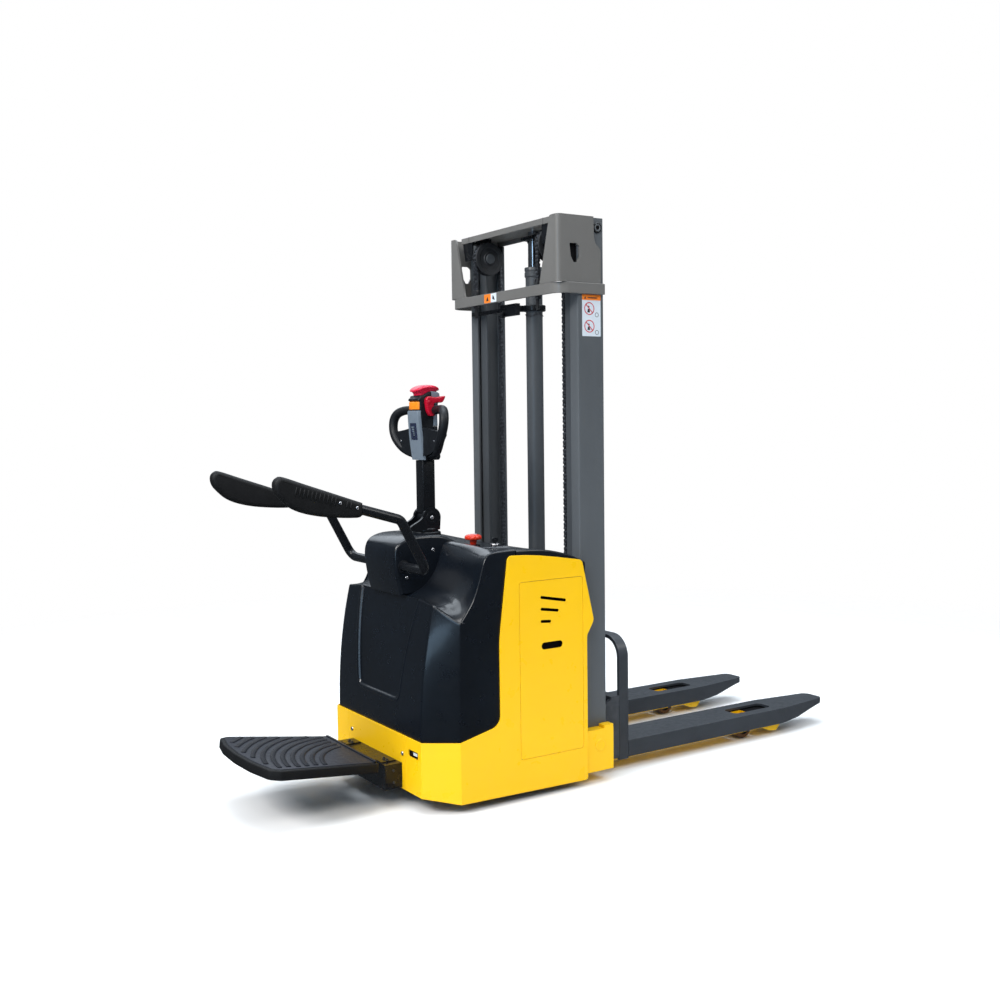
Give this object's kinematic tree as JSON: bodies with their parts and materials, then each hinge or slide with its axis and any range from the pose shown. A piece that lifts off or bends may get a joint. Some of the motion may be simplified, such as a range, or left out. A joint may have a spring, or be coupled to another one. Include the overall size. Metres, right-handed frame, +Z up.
{
  "type": "walkie stacker",
  "caption": "Stand-on electric pallet stacker with a two-stage mast, straddled forks, a folding platform, folding side arms and a steering tiller.",
  "frame": {"origin": "centre of the whole machine's footprint box, on the floor", "axes": "+X from the operator's platform to the fork tips, +Y the machine's left, +Z up"},
  "size_m": [2.6402, 0.848, 2.124],
  "materials": {
    "yellow_paint": "semi-gloss yellow paint",
    "black_moulding": "glossy black moulding",
    "mast_paint": "satin warm grey paint",
    "fork_paint": "satin blue-grey paint",
    "black_paint": "satin black paint",
    "black_plastic": "satin black plastic",
    "black_rubber": "matt black rubber",
    "grey_plastic": "satin grey plastic",
    "crimson_plastic": "glossy crimson plastic",
    "orange_plastic": "glossy orange plastic",
    "stop_red_plastic": "glossy red plastic",
    "bright_steel": "bright steel",
    "oiled_chain": "dark oiled steel",
    "cast_iron": "dark cast iron",
    "polyurethane_tyre": "dark amber polyurethane",
    "battery_case": "matt dark blue case"
  },
  "bodies": {
    "chassis": {"base_frame": "black_paint", "rear_skirt": "yellow_paint", "side_cover_right": "yellow_paint", "side_cover_left": "yellow_paint", "access_panel_right": "yellow_paint", "access_panel_left": "yellow_paint", "rear_cover": "black_moulding", "top_cover": "black_moulding", "battery_lid": "black_moulding", "battery": "battery_case", "pump_unit": "cast_iron", "dash_panel": "black_plastic", "arm_bracket": "black_paint", "leg_right": "yellow_paint", "leg_left": "yellow_paint", "mast_channel_right": "mast_paint", "mast_channel_left": "mast_paint", "cheek_right": "mast_paint", "cheek_left": "mast_paint", "mast_ring": "mast_paint", "mast_foot_tie": "mast_paint", "lift_cylinder": "mast_paint", "cylinder_clamp": "black_paint", "platform_mount": "black_paint", "chain_rear_right": "oiled_chain", "chain_rear_left": "oiled_chain"},
    "inner_mast": {"inner_channel_right": "mast_paint", "inner_channel_left": "mast_paint", "inner_top_beam": "mast_paint", "lift_rod": "bright_steel", "chain_front_right": "oiled_chain", "chain_front_left": "oiled_chain"},
    "sheave_right": {"sheave_right": "cast_iron"},
    "sheave_left": {"sheave_left": "cast_iron"},
    "carriage": {"carriage_frame": "fork_paint", "carriage_hoop": "fork_paint", "fork_right": "fork_paint", "fork_left": "fork_paint"},
    "steer": {"drive_unit": "cast_iron", "tiller_base": "black_paint"},
    "drive_wheel": {"drive_wheel": "polyurethane_tyre"},
    "tiller": {"tiller_arm": "black_paint", "tiller_head": "black_plastic", "head_cover": "grey_plastic"},
    "belly_button": {"belly_button": "crimson_plastic"},
    "throttle": {"throttle": "crimson_plastic"},
    "horn_button": {"horn_button": "orange_plastic"},
    "platform": {"platform_plate": "black_rubber"},
    "arm_right": {"arm_tube_right": "black_paint", "arm_grip_right": "black_rubber"},
    "arm_left": {"arm_tube_left": "black_paint", "arm_grip_left": "black_rubber"},
    "estop": {"estop_button": "stop_red_plastic"},
    "key": {"key": "bright_steel"},
    "load_wheel_right": {"load_wheel_right": "polyurethane_tyre"},
    "load_wheel_left": {"load_wheel_left": "polyurethane_tyre"},
    "caster_right": {"caster_fork_right": "bright_steel"},
    "caster_left": {"caster_fork_left": "bright_steel"},
    "caster_wheel_right": {"caster_wheel_right": "polyurethane_tyre"},
    "caster_wheel_left": {"caster_wheel_left": "polyurethane_tyre"}
  },
  "joints": [
    {"name": "mast_lift", "type": "slide", "parent": "chassis", "child": "inner_mast", "axis": [0, 0, 1], "range_m": [0, 1.45], "deforming": ["chain_rear_right", "chain_rear_left"]},
    {"name": "carriage_lift", "type": "slide", "parent": "inner_mast", "child": "carriage", "axis": [0, 0, 1], "range_m": [0, 1.45], "deforming": ["chain_front_right", "chain_front_left"]},
    {"name": "sheave_spin_right", "type": "hinge", "parent": "inner_mast", "child": "sheave_right", "pos_m": [-0.0994, -0.221, 2.033], "axis": [0, 1, 0], "range_deg": [-1400, 10]},
    {"name": "sheave_spin_left", "type": "hinge", "parent": "inner_mast", "child": "sheave_left", "pos_m": [-0.0994, 0.221, 2.033], "axis": [0, 1, 0], "range_deg": [-1400, 10]},
    {"name": "steer", "type": "hinge", "parent": "chassis", "child": "steer", "pos_m": [-0.5344, 0, 0.28], "axis": [0, 0, 1], "range_deg": [-90, 90]},
    {"name": "drive_wheel_spin", "type": "hinge", "parent": "steer", "child": "drive_wheel", "pos_m": [-0.5344, 0, 0.125], "axis": [0, 1, 0], "continuous": true},
    {"name": "tiller_tilt", "type": "hinge", "parent": "steer", "child": "tiller", "pos_m": [-0.5344, 0, 1.013], "axis": [0, -1, 0], "range_deg": [0, 80], "stiffness_Nm_per_rad": 14, "springref_deg": -20.05},
    {"name": "belly_press", "type": "slide", "parent": "tiller", "child": "belly_button", "axis": [0, 0, -1], "range_m": [0, 0.006], "stiffness_N_per_m": 600, "springref_m": -0.004},
    {"name": "throttle_turn", "type": "hinge", "parent": "tiller", "child": "throttle", "pos_m": [-0.5484, 0, 1.445], "axis": [0, 1, 0], "range_deg": [-12, 12], "stiffness_Nm_per_rad": 1.2},
    {"name": "horn_press", "type": "slide", "parent": "tiller", "child": "horn_button", "axis": [1, 0, 0], "range_m": [0, 0.003], "stiffness_N_per_m": 400, "springref_m": -0.003},
    {"name": "platform_fold", "type": "hinge", "parent": "chassis", "child": "platform", "pos_m": [-0.8514, 0, 0.15], "axis": [0, 1, 0], "range_deg": [0, 84]},
    {"name": "arm_fold_right", "type": "hinge", "parent": "chassis", "child": "arm_right", "pos_m": [-0.7034, -0.299, 0.849], "axis": [0, -1, 0], "range_deg": [0, 105]},
    {"name": "arm_fold_left", "type": "hinge", "parent": "chassis", "child": "arm_left", "pos_m": [-0.7034, 0.299, 0.849], "axis": [0, -1, 0], "range_deg": [0, 105]},
    {"name": "estop_press", "type": "slide", "parent": "chassis", "child": "estop", "axis": [0, 0, -1], "range_m": [0, 0.005]},
    {"name": "key_turn", "type": "hinge", "parent": "chassis", "child": "key", "pos_m": [-0.3394, -0.177, 0.911], "axis": [0, 0, 1], "range_deg": [0, 90]},
    {"name": "load_wheel_spin_right", "type": "hinge", "parent": "chassis", "child": "load_wheel_right", "pos_m": [0.8456, -0.252, 0.042], "axis": [0, 1, 0], "continuous": true},
    {"name": "load_wheel_spin_left", "type": "hinge", "parent": "chassis", "child": "load_wheel_left", "pos_m": [0.8456, 0.252, 0.042], "axis": [0, 1, 0], "continuous": true},
    {"name": "caster_swivel_right", "type": "hinge", "parent": "chassis", "child": "caster_right", "pos_m": [-0.5634, -0.285, 0.1895], "axis": [0, 0, 1], "continuous": true},
    {"name": "caster_spin_right", "type": "hinge", "parent": "caster_right", "child": "caster_wheel_right", "pos_m": [-0.5984, -0.285, 0.0625], "axis": [0, 1, 0], "continuous": true},
    {"name": "caster_swivel_left", "type": "hinge", "parent": "chassis", "child": "caster_left", "pos_m": [-0.5634, 0.285, 0.1895], "axis": [0, 0, 1], "continuous": true},
    {"name": "caster_spin_left", "type": "hinge", "parent": "caster_left", "child": "caster_wheel_left", "pos_m": [-0.5984, 0.285, 0.0625], "axis": [0, 1, 0], "continuous": true}
  ],
  "couplings": [
    {"joint": "carriage_lift", "follows": "mast_lift", "ratio": 1},
    {"joint": "sheave_spin_right", "follows": "mast_lift", "rad_per_m": -16.667},
    {"joint": "sheave_spin_left", "follows": "mast_lift", "rad_per_m": -16.667}
  ]
}
